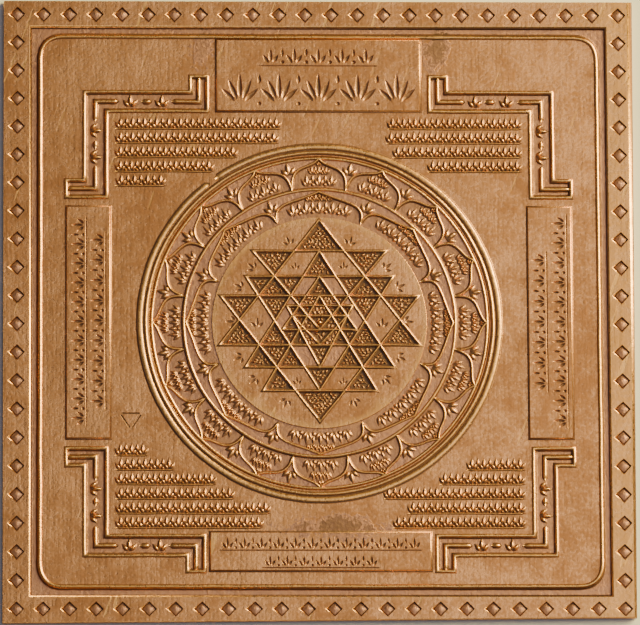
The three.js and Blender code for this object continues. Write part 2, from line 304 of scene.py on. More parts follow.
def copper_finish(name, settings):
    """Copper that is rubbed bright below no tarnish, etched at half tarnish and black-brown at full. Below
    no tarnish also lies the painted sheen on the band's right side.
    """
    finish = Finish(name)
    place = finish.node("ShaderNodeTexCoord", output=3)
    tarnish = finish.node("ShaderNodeAttribute", {"attribute_name": "tarnish"}, output=2)
    cloud = finish.noise(place, 45.0, 5.0, 0.6)
    blotch = finish.noise(place, 420.0, 6.0, 0.65)
    speck = finish.noise(place, 2600.0, 3.0, 0.6)
    drawn = finish.node("ShaderNodeMapping", Vector=place, Scale=(1.0, 0.06, 1.0))
    brushed = finish.noise(drawn, 2600.0, 3.0, 0.6)
    slanted = finish.node("ShaderNodeMapping", {"vector_type": "TEXTURE"}, Vector=place,
                          Rotation=(0, 0, -0.35), Scale=(1.0, 12.0, 1.0))
    hairline = finish.step(finish.noise(slanted, 1300.0, 1.0), 0.7, 0.73)
    lying = tarnish + (blotch - 0.5) * 0.3
    ragged = (blotch - 0.5) * 3.0 + (speck - 0.5) * 1.5
    for (x, y), (wide, tall), strength in STAINS:
        spot = finish.node("ShaderNodeMapping", {"vector_type": "TEXTURE"}, Vector=place,
                           Location=(x * MM, y * MM, FIELD), Scale=(wide * MM, tall * MM, 1.0))
        away = finish.node("ShaderNodeVectorMath", {"operation": "LENGTH"}, output=1, _0=spot)
        lying = lying + (1.0 - finish.step(away + ragged, 0.5, 1.3)) * strength
    age = finish.step(cloud * 0.35 + blotch * 0.35 + speck * 0.3, 0.4, 0.6)
    matt = finish.step(lying, 0.12, 0.45)
    black = finish.step(lying, 0.47, 0.86)
    # Rubbed colour below no tarnish: worn crests, and the painted sheen on the band's right side
    worn = finish.step(hairline * 0.2 - tarnish, 0.02, 0.25)
    colour = finish.mix(matt, finish.mix(age, settings.clean, settings.brown), settings.etched)
    colour = finish.mix(worn, colour, settings.rubbed)
    finish.feed("Base Color", finish.mix(black, colour, CORNER_BROWN))
    finish.feed("Metallic", 1.0 - black * 0.6)
    finish.feed("Roughness", settings.roughness + age * 0.08 + (speck - 0.5) * 0.3 + matt * 0.12)
    dents = finish.noise(place, 160.0, 3.0)
    relief = dents * 2.0 + blotch * 0.35 + brushed * 0.35 + speck * (matt * 0.7 + 0.5) - hairline * 0.1
    finish.feed("Normal", finish.node("ShaderNodeBump", Strength=0.7, Distance=0.00007, Height=relief))
    return finish.material


def offset_line(line, distance, closed, swell=None):
    """Moves a line to its left, with mitred corners. swell scales the move at each point."""
    last = len(line) - 1
    moved = []
    for i, point in enumerate(line):
        before = line[i - 1] if i or closed else None
        after = line[(i + 1) % len(line)] if i < last or closed else None
        arriving = (point - before).normalized() if before else (after - point).normalized()
        leaving = (after - point).normalized() if after else arriving
        mitre = (arriving + leaving).normalized().orthogonal()
        spread = max(mitre.dot(arriving.orthogonal()), 0.3)
        reach = distance * (swell[i] if swell else 1.0)
        moved.append(point + mitre * (reach / spread))
    return moved


def cut_up(line, step, closed=False):
    """Adds points so that no stretch of the line is longer than a step."""
    ends = line[1:] + line[:1] if closed else line[1:]
    points = []
    for start, end in zip(line, ends):
        pieces = max(1, math.ceil((end - start).length / step))
        points += [start.lerp(end, i / pieces) for i in range(pieces)]
    return points if closed else points + [line[-1]]


def waver(line, seed=0.0, share=1.0):
    """Moves the points a little, as a line cut by hand wanders."""
    amount = bpy.context.scene.yantra_plate.waver * share
    moved = []
    for p in line:
        place = Vector((p.x / MM * 0.35, p.y / MM * 0.35, seed))
        moved.append(p + noise.noise_vector(place).xy * amount)
    return moved


def area(outline):
    return sum(a.cross(b) for a, b in zip(outline, outline[1:] + outline[:1])) / 2


def anticlockwise(outline):
    return outline if area(outline) > 0 else outline[::-1]


def clockwise(outline):
    return anticlockwise(outline)[::-1]


def size_of(outline):
    return abs(area(outline))


def middle_of(outline):
    return sum(outline, Vector((0, 0))) / len(outline)


def fullness(line, half):
    """How full an open line is at each point, with ends as round as its half width."""
    shares = []
    for point in line:
        near = min((point - line[0]).length, (point - line[-1]).length) / half
        shares.append(math.sqrt(1 - (1 - near) ** 2) if near < 1 else 1.0)
    return shares


def rectangle(left, bottom, right, top):
    return [Vector((left, bottom)), Vector((right, bottom)), Vector((right, top)), Vector((left, top))]


def rounded(outline, radius, steps):
    """The convex outline, anticlockwise, with its corners rounded."""
    points = []
    for i, corner in enumerate(outline):
        before = (outline[i - 1] - corner).normalized()
        after = (outline[(i + 1) % len(outline)] - corner).normalized()
        start, end = corner + before * radius, corner + after * radius
        for j in range(steps + 1):
            t = j / steps
            points.append(start.lerp(corner, t).lerp(corner.lerp(end, t), t))
    return points


def on_circle(radius, angle):
    """A point of the medallion. The angle is counted from the top, clockwise."""
    return CENTRE + Vector((math.sin(angle), math.cos(angle))) * radius


def circle(radius, steps):
    return [on_circle(radius, -2 * math.pi * i / steps) for i in range(steps)]


def turned(angle):
    """The direction at an angle from the top, clockwise."""
    return Vector((math.sin(angle), math.cos(angle)))


def leaf(foot, direction, length, width, steps=5):
    """The outline of a leaf that grows from its foot, anticlockwise."""
    along = direction.normalized()
    across = along.orthogonal()
    right = []
    left = []
    for i in range(1, steps):
        u = i / steps
        half = width / 2 * math.sin(math.pi * u ** 0.8)
        right.append(foot + along * (length * u) - across * half)
        left.append(foot + along * (length * u) + across * half)
    return [foot] + right + [foot + along * length] + left[::-1]


def bead(centre, radius, steps=9):
    return [centre + turned(-2 * math.pi * i / steps) * radius for i in range(steps)]


def palmette(foot, direction, height, fan=3, spread=0.75, slim=0.28):
    """A small lotus of slim leaves that fan out from a foot."""
    leaves = []
    for i in range(fan):
        lean = spread * (2 * i / (fan - 1) - 1)
        ray = Vector((direction.x * math.cos(lean) + direction.y * math.sin(lean),
                      direction.y * math.cos(lean) - direction.x * math.sin(lean)))
        length = height * (0.84 - 0.24 * abs(lean) / spread)
        leaves.append(leaf(foot + ray * height * 0.16, ray, length, height * slim))
    return leaves


def palmette_row(start, direction, length, height, pitch=1.25, spread=0.6, slim=0.22):
    """A row of palmettes with a leaf over a bead between each two, to the left of its direction."""
    count = max(1, round(length / (height * pitch)))
    pitch = length / count
    up = direction.orthogonal()
    figures = []
    for i in range(count):
        foot = start + direction * (pitch * (i + 0.5))
        figures += palmette(foot, up, height, 3, spread, slim)
        if i < count - 1:
            between = foot + direction * (pitch / 2)
            figures.append(leaf(between + up * height * 0.46, up, height * 0.52, height * 0.17))
            figures.append(bead(between + up * height * 0.2, height * 0.11))
    return figures


def bent(figures, radius, angle):
    """Bends figures drawn along a straight foot line on to an arc of the medallion."""
    return [[on_circle(radius + p.y, angle + p.x / radius) for p in figure][::-1] for figure in figures]


class Metal:
    """Gathers the points and faces of one worked piece, with the tarnish that lies on each point."""

    def __init__(self):
        self.points = []
        self.tarnish = []
        self.faces = []
        self.flat = []

    def row(self, outline, level, tarnish=0.0):
        """Adds points at one level, or each at its own, and returns their numbers."""
        first = len(self.points)
        levels = level if isinstance(level, list) else [level] * len(outline)
        self.points += [(p.x, p.y, z) for p, z in zip(outline, levels)]
        self.tarnish += [tarnish] * len(outline)
        return list(range(first, len(self.points)))

    def drawn_in(self, outline, middle, start, reach, steps):
        """Rows drawn in towards a middle by a share, each some way along the reach and with its tarnish."""
        return [self.row([middle.lerp(p, share) for p in outline], start + reach * along, tarnish)
                for share, along, tarnish in steps]

    def face(self, corners, flat=False):
        self.faces.append(corners)
        self.flat.append(flat)

    def band(self, below, above, closed=True):
        """Joins two rows of as many points."""
        for i in range(len(below) if closed else len(below) - 1):
            j = (i + 1) % len(below)
            self.face((below[i], below[j], above[j], above[i]))

    def stack(self, rows):
        """Joins rows one above the other."""
        for below, above in zip(rows, rows[1:]):
            self.band(below, above)

    def lump(self, rows, flat=False):
        """Joins rows one above the other and closes them at the top and underneath."""
        self.stack(rows)
        self.face(rows[-1], flat)
        self.face(rows[0][::-1])

    def fill(self, rows, up=True):
        """Closes the flat area inside the first row and outside the others."""
        numbers = [number for row in rows for number in row]
        places = [Vector(self.points[number][:2]) for number in numbers]
        outlines = []
        first = 0
        for row in rows:
            outline = list(range(first, first + len(row)))
            first += len(row)
            outlines.append(outline if area([places[i] for i in outline]) > 0 else outline[::-1])
        points, _, triangles, sources, _, owners = delaunay_2d_cdt(places, [], outlines, 2, 1e-9)
        if len(points) != len(places):
            raise RuntimeError(f"{len(points) - len(places)} outlines of a flat area cross")
        for triangle, owner in zip(triangles, owners):
            if list(owner) == [0]:
                corners = [numbers[sources[i][0]] for i in triangle]
                self.face(corners if up else corners[::-1], flat=True)

    def wall(self, outline, crest, low, high, skirt=0.0, top=0.0):
        """A wall from an outline up to another, rounded at its top. Returns its lowest and top row."""
        rise = high - low
        rim = [(p, q - p) for p, q in zip(outline, crest)]
        rows = []
        if skirt:
            outer = offset_line(outline, -skirt, True)
            rows.append(self.row(outer, low, 0.1))
            rows.append(self.row(outer, low + SUNK + 0.002 * MM, 0.1))
        rows += [
            self.row(outline, low + (SUNK + 0.01 * MM if skirt else 0.0), FOOT_DIRT),
            self.row([p + way * 0.3 for p, way in rim], low + rise * 0.4, 0.4),
            self.row([p + way * 0.6 for p, way in rim], low + rise * 0.78, RUBBED),
            self.row([p + way * 0.82 for p, way in rim], low + rise * 0.94, RUBBED),
            self.row(crest, high, top),
        ]
        self.stack(rows)
        return rows[0], rows[-1]

    def slab(self, outline, holes, low, high, slope, sunk=(), skirt=0.0, top=0.0):
        """A closed plate with holes right through it, and with pits and grooves given by their rims."""
        foot = anticlockwise(outline)
        walls = [self.wall(foot, offset_line(foot, slope, True), low, high, skirt, top)]
        for hole in holes:
            foot = clockwise(hole)
            walls.append(self.wall(foot, offset_line(foot, slope, True), low, high))
        self.close(walls, sunk)

    def close(self, walls, sunk=()):
        """Closes a plate between its walls, above and below."""
        feet, tops = zip(*walls)
        self.fill(list(tops) + list(sunk))
        self.fill(list(feet), up=False)

    def pit(self, outline, high, depth, slope, foot=0.01 * MM, floor=PETAL_TARNISH):
        """A pit whose walls slope in to a flat floor, with dirt along its foot. Returns its rim."""
        rim = clockwise(outline)
        steps = ((slope + foot + 0.14 * MM, 1.0, floor), (slope + foot, 1.0, FOOT_DIRT),
                 (slope, 1.0, FOOT_DIRT), (slope * 0.7, 0.8, FOOT_DIRT * 0.6),
                 (slope * 0.3, 0.2, FOOT_DIRT * 0.2), (0.0, 0.0, 0.05))
        rows = [self.row(offset_line(rim, -inset, True), high - depth * share, tarnish)
                for inset, share, tarnish in steps]
        self.stack(rows)
        self.fill([rows[0][::-1]])
        return rows[-1]

    def engrave(self, outline, high, depth):
        """A small pit, drawn in towards its own middle. Returns its rim."""
        rim = clockwise(outline)
        steps = ((0.3, 1.0, 0.76), (0.64, 0.9, 0.72), (0.88, 0.4, 0.45), (1.0, 0.0, 0.1))
        rows = self.drawn_in(rim, middle_of(rim), high, -depth, steps)
        self.stack(rows)
        self.face(rows[0][::-1])
        return rows[-1]

    def groove(self, line, half, high, depth, dirt=0.7):
        """A groove with a rounded bottom along an open line. Returns its rim."""
        swell = [max(share, 0.1) for share in fullness(line, half)]
        rows = []
        for across, sink in ((-1.0, 0.0), (-0.55, 0.75), (0.0, 1.0), (0.55, 0.75), (1.0, 0.0)):
            levels = [high - depth * sink * share for share in swell]
            moved = offset_line(line, across * half, False, swell)
            rows.append(self.row(moved, levels, dirt * sink + 0.1))
        for right, left in zip(rows, rows[1:]):
            self.band(right, left, False)
        self.face([row[0] for row in rows][::-1])
        self.face([row[-1] for row in rows])
        return rows[0] + rows[-1][::-1]

    def add_tarnish_and_sheen(self, level, change):
        """Adds tarnish to the points at one level by where they lie; a negative change paints a sheen."""
        for number, (x, y, z) in enumerate(self.points):
            if z == level:
                self.tarnish[number] += change(Vector((x, y)))

    def boss(self, outline, low, height, foot=0.9, crest=RUBBED):
        """A small raised figure with a rounded back."""
        line = anticlockwise(outline)
        skirt = offset_line(line, -0.13 * MM, True)
        # A darker ring round the figure's foot
        rows = [self.row(skirt, low - SUNK, SKIRT_DARKENING),
                self.row(skirt, low + 0.002 * MM, SKIRT_DARKENING), self.row(line, low + 0.012 * MM, foot)]
        steps = ((0.88, 0.34, foot * 0.5), (0.7, 0.72, 0.0), (0.45, 0.94, crest), (0.18, 1.0, crest))
        self.lump(rows + self.drawn_in(line, middle_of(line), low, height, steps))

    def ridge(self, line, half, low, high, closed=False, crown=0.42):
        """A raised line with a rounded back and soft feet, closed underneath."""
        swell = [1.0 + UNEVEN * noise.noise(Vector((p.x / MM, p.y / MM, 7.0))) for p in line]
        lift = [1.0 + 0.5 * UNEVEN * noise.noise(Vector((p.x / MM, p.y / MM, 19.0))) for p in line]
        if not closed:
            for i, share in enumerate(fullness(line, half)):
                swell[i] *= max(share, 0.05)
                lift[i] *= share
        rows = []
        for across, rise, tarnish in self.section(crown):
            levels = [min(low + (high - low) * rise * share if rise else low - SUNK, high)
                      for share in lift]
            rows.append(self.row(offset_line(line, -across * half, closed, swell), levels, tarnish))
        for right, left in zip(rows, rows[1:] + rows[:1]):
            self.band(left, right, closed)
        if not closed:
            self.face([row[0] for row in rows])
            self.face([row[-1] for row in rows][::-1])

    @staticmethod
    def section(crown):
        """Steps across a raised line: how far out, how high, and how tarnished."""
        side = [(1.4, 0.0, 0.08), (1.4, 0.006, 0.08), (1.12, 0.035, 0.9), (0.97, 0.15, 1.0),
                (crown + (1 - crown) * 0.66, 0.44, 0.55), (crown + (1 - crown) * 0.33, 0.76, 0.0),
                (crown, 0.95, RUBBED)]
        return [(-across, rise, dirt) for across, rise, dirt in side] + [(0.0, 1.0, RUBBED)] + side[::-1]


def make(name, metal, replaced=(), slot="copper"):
    """Turns the gathered metal into a piece that rides on the plate."""
    mesh = bpy.data.meshes.new(name)
    mesh.from_pydata(metal.points, [], metal.faces)
    mesh.attributes.new("tarnish", "FLOAT", "POINT").data.foreach_set("value", metal.tarnish)
    mesh.polygons.foreach_set("use_smooth", [not flat for flat in metal.flat])
    worked = bmesh.new()
    worked.from_mesh(mesh)
    bmesh.ops.remove_doubles(worked, verts=worked.verts, dist=0.0005 * MM)
    bmesh.ops.dissolve_degenerate(worked, edges=worked.edges, dist=0.0005 * MM)
    worked.to_mesh(mesh)
    worked.free()
    mesh.materials.append(finish_of(slot))
    piece = bpy.data.objects.new(name, mesh)
    bpy.context.scene.collection.objects.link(piece)
    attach(piece, "root")
    if replaced:
        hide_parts(*replaced)
    return piece


def outlines_of(node, level):
    """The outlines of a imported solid's flat top at a level."""
    solid = bmesh.new()
    solid.from_mesh(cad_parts[node].data)
    bmesh.ops.remove_doubles(solid, verts=solid.verts, dist=0.001 * MM)
    flat = {face for face in solid.faces
            if all(abs(corner.co.z - level) < 0.01 * MM for corner in face.verts)}
    rim = [edge for edge in solid.edges if sum(face in flat for face in edge.link_faces) == 1]
    onward = {}
    for edge in rim:
        for corner in edge.verts:
            onward.setdefault(corner, []).append(edge)
    outlines = []
    unused = set(rim)
    while unused:
        edge = min(unused, key=lambda e: e.index)
        start = corner = edge.verts[0]
        outline = []
        while edge in unused:
            unused.discard(edge)
            outline.append(corner.co.xy.copy())
            corner = edge.other_vert(corner)
            edge = next((e for e in onward[corner] if e in unused), edge)
            if corner is start:
                break
        outlines.append(outline)
    solid.free()
    return outlines


def three_corners(cell):
    """The three sharpest corners of a triangle that may have a stray point on a side."""
    def turn(i):
        arriving = cell[i] - cell[i - 1]
        leaving = cell[(i + 1) % len(cell)] - cell[i]
        return arriving.angle(leaving)
    return [cell[i] for i in sorted(sorted(range(len(cell)), key=turn)[-3:])]


def gate_lines(side, rise):
    """The middle of a gate's closed outline and of its middle line."""
    left, bottom, right, top = flat_box("title_plaque" if rise > 0 else "base_plaque")
    clearance = TITLE_CLEARANCE if rise > 0 else BASE_CLEARANCE
    uprights = [(right - left) / 2 + clearance + GATE_LINE / 2 + ARM_PITCH * i for i in (2, 1, 0)]
    _, low, _, high = flat_box("left_plaque")
    arms = [(high - low) / 2 + SIDE_CLEARANCE + GATE_LINE / 2 + ARM_PITCH * i for i in (2, 1, 0)]
    plaque = flat_box("right_plaque")
    reach = Vector((plaque[2] - CENTRE.x, CENTRE.y - flat_box("base_plaque")[1]))
    lines = [reach - GATE_STEP - GATE_PITCH * i for i in range(3)]
    outline = [(uprights[0], reach.y), (uprights[0], lines[0].y), (lines[0].x, lines[0].y),
               (lines[0].x, arms[0]), (reach.x, arms[0]), (reach.x, arms[2]), (lines[2].x, arms[2]),
               (lines[2].x, lines[2].y), (uprights[2], lines[2].y), (uprights[2], reach.y)]
    middle = [(uprights[1], reach.y), (uprights[1], lines[1].y), (lines[1].x, lines[1].y),
              (lines[1].x, arms[1]), (reach.x, arms[1])]
    return [[CENTRE + Vector((side * x, rise * y)) for x, y in points] for points in (outline, middle)]


def row_places(side, rise):
    """Start, direction and length of each row of a corner's block, from the top down."""
    outline, _ = gate_lines(side, rise)
    inner = outline[7]
    lengths = ROW_BLOCKS[side, rise]
    drop = 1.55 * MM
    for i, length in enumerate(lengths):
        if rise > 0:
            y = inner.y - drop - i * ROW_PITCH
        else:
            y = inner.y + drop + (len(lengths) - 1 - i) * ROW_PITCH
        near = inner.x - side * 0.95 * MM
        start = near if side < 0 else near - length * MM
        yield Vector((start, y - ROW_HEIGHT / 2)), length * MM


def petal_side(foot, tip, middle, half, side, shoulder):
    """One side of an ogee petal, from the cusp at its foot to its point."""
    rise = tip - foot
    start = on_circle(foot, middle + side * half)
    first = on_circle(foot + 0.95 * rise, middle + side * 0.97 * half)
    second = on_circle(foot + 0.62 * rise, middle + side * shoulder * half)
    end = on_circle(tip, middle)
    steps = 18
    points = []
    for i in range(steps + 1):
        t = i / steps
        points.append(start * (1 - t) ** 3 + first * 3 * t * (1 - t) ** 2 + second * 3 * t * t * (1 - t)
                      + end * t ** 3)
    return points


def petals(count, foot, tip, shoulder):
    """The two sides of each petal of a ring."""
    half = math.pi / count
    return [[petal_side(foot, tip, 2 * math.pi * i / count, half, side, shoulder) for side in (-1, 1)]
            for i in range(count)]


def triangle_lines():
    """The corners of the star's nine triangles."""
    for base, half, point in TRIANGLES:
        y = LEVELS[base] * DISC_RADIUS
        x = half * DISC_RADIUS
        corners = ((-x, y), (x, y), (0, LEVELS[point] * DISC_RADIUS))
        yield [CENTRE + Vector(corner) for corner in corners]


def inside(place, corners):
    """How far a place lies inside a triangle's sides. It is below 0 outside."""
    turn = anticlockwise(corners)
    sides = zip(turn, turn[1:] + turn[:1])
    return min((end - start).normalized().cross(place - start) for start, end in sides)


def colour_setting(name, description, default):
    return bpy.props.FloatVectorProperty(name=name, description=description, default=default, size=4,
                                         subtype="COLOR", min=0.0, max=1.0)


class PlateSettings(bpy.types.PropertyGroup):
    clean: colour_setting("Clean copper", "Colour of the plain metal", (0.92, 0.43, 0.168, 1.0))
    brown: colour_setting("Browned copper", "Colour of the blotches", (0.5, 0.212, 0.08, 1.0))
    etched: colour_setting("Etched copper", "Colour of the sunk floors", (0.53, 0.262, 0.175, 1.0))
    # Rubbed copper also colours the painted sheen on the band's right side
    rubbed: colour_setting("Rubbed copper", "Colour of the worn crests", (1.0, 0.51, 0.165, 1.0))
    roughness: bpy.props.FloatProperty(
        name="Roughness", description="Least roughness of the copper", default=0.27, min=0.0, max=1.0,
        subtype="FACTOR")
    waver: bpy.props.FloatProperty(
        name="Waver", description="How far a line cut by hand wanders", default=0.04 * MM, min=0.0,
        unit="LENGTH")
    key: bpy.props.FloatProperty(
        name="Key light", description="Power of the low light at the right", default=13.5, min=0.0,
        unit="POWER")
    fill: bpy.props.FloatProperty(
        name="Overhead light", description="Power of the soft light that the flats mirror", default=0.97,
        min=0.0, unit="POWER")


def finish_of(slot):
    """The copper of a material slot, made once."""
    name = f"struck_{slot}"
    if name not in bpy.data.materials:
        copper_finish(name, bpy.context.scene.yantra_plate)
    return bpy.data.materials[name]


class YANTRA_OT_sheet(bpy.types.Operator):
    """Works the ground sheet with its trench, recess and channels"""
    bl_idname = "yantra.sheet"
    bl_label = "Ground sheet"

    def execute(self, context):
        edge, opening = sorted(outlines_of("border_band", CREST), key=size_of)[:-3:-1]
        edge = anticlockwise(edge)
        round_off = 0.06 * MM
        under_band = FIELD - 0.01 * MM
        overhang = 0.02 * MM
        dirty_strip = 0.15 * MM
        sheet = Metal()
        sides = [sheet.row(offset_line(edge, round_off, True), BACK, 0.5),
                 sheet.row(edge, BACK + round_off, 0.4), sheet.row(edge, under_band, 0.6)]
        sheet.stack(sides)
        sheet.fill([sides[0]], up=False)
        trench = anticlockwise(opening)
        trench_rim = sheet.row(clockwise(offset_line(trench, -overhang, True)), under_band, 0.6)
        sheet.fill([sides[-1], trench_rim])
        foot = 0.01 * MM
        floor = [sheet.row(clockwise(offset_line(trench, inset, True)), FLOOR, dirt)
                 for inset, dirt in ((foot + dirty_strip, TRENCH_TARNISH), (foot, TRENCH_DIRT),
                                     (-overhang, TRENCH_DIRT))]
        sheet.stack(floor + [trench_rim])
        rib = rib_line()
        foot = RIB_HALF * 1.15
        island = [sheet.row(offset_line(rib, -reach, True), FLOOR, dirt)
                  for reach, dirt in ((foot + dirty_strip, TRENCH_TARNISH), (foot, TRENCH_DIRT),
                                      (0.0, TRENCH_DIRT))]
        top = sheet.row(rib, FIELD, 0.1)
        sheet.stack(island + [top])
        sheet.fill([floor[0][::-1], island[0][::-1]])
        holes = [sheet.pit(circle(RECESS_RADIUS, 160), FIELD, FIELD - FLOOR, 0.08 * MM)]
        for side, rise in ROW_BLOCKS:
            loop, _ = gate_lines(side, rise)
            holes.append(sheet.pit(loop, FIELD, CHANNEL_DEPTH, 0.05 * MM, GATE_HALF, CHANNEL_TARNISH))
        for line in self.plain_triangle():
            holes.append(sheet.groove(line, 0.12 * MM, FIELD, 0.12 * MM, 1.0))
        sheet.fill([top] + holes)
        make("worked_sheet", sheet, ("ground_sheet",))
        return {"FINISHED"}

    def plain_triangle(self):
        """The three sides of the small triangle below the left panel."""
        low = CENTRE + Vector((-22.71, -13.05)) * MM
        corners = [low, low + Vector((1.33, 1.95)) * MM, low + Vector((-1.33, 1.95)) * MM]
        for start, end in zip(corners, corners[1:] + corners[:1]):
            way = (end - start).normalized() * 0.2 * MM
            yield cut_up([start + way, end - way], 0.1 * MM)


def rib_line():
    """The middle of the rib, anticlockwise."""
    left, bottom, right, top = flat_box("frame_rib")
    inset = FRAME_LINE / 2
    corners = rectangle(left + inset, bottom + inset, right - inset, top - inset)
    return cut_up(rounded(corners, RIB_CORNER, 14), 1.2 * MM, True)


class YANTRA_OT_border(bpy.types.Operator):
    """Raises the border band with its lozenges, and the rib inside it"""
    bl_idname = "yantra.border"
    bl_label = "Border"

    def execute(self, context):
        outlines = sorted(outlines_of("border_band", CREST), key=size_of)
        lozenges = outlines[:-2]
        band = Metal()
        edge = anticlockwise(outlines[-1])
        opening = clockwise(outlines[-2])
        walls = [band.wall(edge, self.bevel(edge), FIELD - SUNK, CREST),
                 band.wall(opening, offset_line(opening, 0.28 * MM, True), FIELD - SUNK, CREST)]
        studs = Metal()
        for lozenge in lozenges:
            rim = clockwise(lozenge)
            walls.append(band.wall(rim, self.lip(rim), FIELD - SUNK, CREST))
            self.stud(studs, lozenge)
        band.close(walls)
        # Painted sheen on the band's crest towards its right side, where the key light falls
        band.add_tarnish_and_sheen(CREST, self.right_side_sheen)
        make("border", band, ("border_band",))
        make("lozenge_studs", studs)
        rib = Metal()
        rib.ridge(waver(rib_line()), RIB_HALF, FLOOR, LINE_CREST, closed=True, crown=0.35)
        make("rounded_rib", rib, ("frame_rib",))
        return {"FINISHED"}

    def right_side_sheen(self, place):
        """Painted sheen that lightens the band's crest towards its right side, where the key light falls.
        """
        return BAND_SHEEN * min(max(place.x - SHEEN_SIDE, 0.0) / SHEEN_REACH, 1.0)

    def bevel(self, edge):
        """The inner line of the plate's worn edge, widest at the upper right."""
        worn = []
        for p in edge:
            across = 0.08 if p.x < 0 else -0.62 if p.y > 0 else -0.3
            worn.append(p + Vector((across, -0.1 if p.y > 0 else 0.07)) * MM)
        return worn

    def lip(self, lozenge):
        """The rim of a lozenge's pit, which the punch pressed widest at its lower left."""
        middle = middle_of(lozenge)
        below = 0.08 if middle.y < flat_box("ground_sheet")[1] + 3 * MM else 0.2
        rim = []
        for corner in lozenge:
            out = (corner - middle).normalized()
            rim.append(corner + out * (0.32 if out.x < -0.5 else below if out.y < -0.5 else 0.04) * MM)
        return rim

    def stud(self, studs, lozenge):
        """The low pyramid in a lozenge, its point drawn to the upper left."""
        middle = middle_of(lozenge)
        point = middle + Vector((-0.06, 0.12)) * MM
        foot = [middle.lerp(p, 0.96) for p in anticlockwise(lozenge)]
        steps = ((1.0, 0.28, 0.9), (0.84, 0.24, 0.64), (0.3, 0.13, 0.5), (0.08, 0.1, 0.25))
        studs.lump([studs.row(foot, FIELD - SUNK, 0.8)] + studs.drawn_in(foot, point, CREST, -MM, steps))


class YANTRA_OT_plaques(bpy.types.Operator):
    """Raises the four plaques and engraves them with rows of palmettes"""
    bl_idname = "yantra.plaques"
    bl_label = "Plaques"

    def execute(self, context):
        for node, rows, figures in (("title_plaque", self.title_row(), self.tall_palmettes()),
                                    ("base_plaque", self.base_rows(), ()),
                                    ("left_plaque", self.columns("left_plaque", LEFT_COLUMNS), ()),
                                    ("right_plaque", self.columns("right_plaque", RIGHT_COLUMNS), ())):
            plaque = Metal()
            sunk = [plaque.engrave(figure, CREST, ENGRAVING) for figure in figures]
            for start, way, length, height in rows:
                for figure in palmette_row(start, way, length, height):
                    sunk.append(plaque.engrave(figure, CREST, ENGRAVING))
                line = waver(cut_up([start, start + way * length], 0.25 * MM), share=0.5)
                sunk.append(plaque.groove(line, 0.1 * MM, CREST, ENGRAVING * 0.6))
            plaque.slab(rectangle(*flat_box(node)), [], FIELD - SUNK, CREST, 0.16 * MM, sunk, 0.12 * MM)
            make(node.replace("plaque", "panel"), plaque, (node,))
        return {"FINISHED"}

    def title_row(self):
        """The small row in the title panel: its foot's start and direction, its length and height."""
        left, _, right, top = flat_box("title_plaque")
        start = Vector(((left + right) / 2 - 7.2 * MM, top - 3.3 * MM))
        return [(start, ALONG, 14.4 * MM, 2.3 * MM)]

    def tall_palmettes(self):
        """Five tall palmettes under the title panel's small row."""
        left, bottom, right, _ = flat_box("title_plaque")
        middle = (left + right) / 2
        tall = 4.3 * MM
        pitch = 4.75 * MM
        figures = []
        for i in range(5):
            foot = Vector((middle + (i - 2) * pitch, bottom + 0.7 * MM))
            figures += palmette(foot, UP, tall, 5, 0.8, 0.15)
            if i < 4:
                between = foot + Vector((pitch / 2, 0))
                figures.append(leaf(between + UP * tall * 0.62, UP, tall * 0.3, tall * 0.12))
                figures.append(bead(between + UP * tall * 0.06, tall * 0.06))
        return figures

    def base_rows(self):
        """A long row over a shorter one."""
        left, bottom, right, top = flat_box("base_plaque")
        middle = (left + right) / 2
        return [(Vector((middle - 12.2 * MM, top - 2.3 * MM)), ALONG, 24.4 * MM, 1.65 * MM),
                (Vector((middle - 7.1 * MM, bottom + 0.4 * MM)), ALONG, 14.2 * MM, 1.55 * MM)]

    def columns(self, node, columns):
        """Two columns of palmettes that lie on their sides."""
        left, _, _, top = flat_box(node)
        return [(Vector((left + inset * MM, top - (gap + length) * MM)), UP, length * MM, COLUMN_WIDTH)
                for inset, gap, length in columns]


class YANTRA_OT_gates(bpy.types.Operator):
    """Raises the four gates, each an outline round a middle line"""
    bl_idname = "yantra.gates"
    bl_label = "Gates"

    def execute(self, context):
        floor = FIELD - CHANNEL_DEPTH
        for corner, (side, rise) in zip(CORNERS, ROW_BLOCKS):
            outline, middle = gate_lines(side, rise)
            gate = Metal()
            line = waver(cut_up(anticlockwise(outline), 0.6 * MM, True))
            gate.ridge(line, GATE_HALF, floor, LINE_CREST, closed=True, crown=0.4)
            make(f"{corner}_gate", gate, (f"{corner}_gate_outline",))
            thread = Metal()
            for stretch in self.stretches(middle):
                line = waver(cut_up(stretch, 0.4 * MM), 3.0)
                thread.ridge(line, GATE_HALF * 0.95, floor, LOW_LINE_CREST, crown=0.4)
            for figure in self.marks(middle):
                thread.boss(figure, floor, 0.24 * MM)
            make(f"{corner}_gate_thread", thread, (f"{corner}_gate_middle_line",))
        return {"FINISHED"}

    def stretches(self, middle):
        """The middle line's stretches: one from each cap, a dash on each arm, and one round the corner."""
        cap, elbow, corner, bend, end = middle
        for first, second, third in ((cap, elbow, corner), (end, bend, corner)):
            length = (third - second).length
            way = (third - second) / length
            yield [first, second, second + way * length * 0.27]
            yield [second + way * length * 0.45, second + way * length * 0.56]
        yield [elbow.lerp(corner, 0.77), corner, bend.lerp(corner, 0.77)]

    def marks(self, middle):
        """The small palmettes between the stretches."""
        _, elbow, corner, bend, _ = middle
        height = 1.45 * MM
        for start, up in ((elbow, UP), (bend, ALONG)):
            for place in (0.36, 0.665):
                yield from palmette(start.lerp(corner, place) - up * height / 2, up, height)


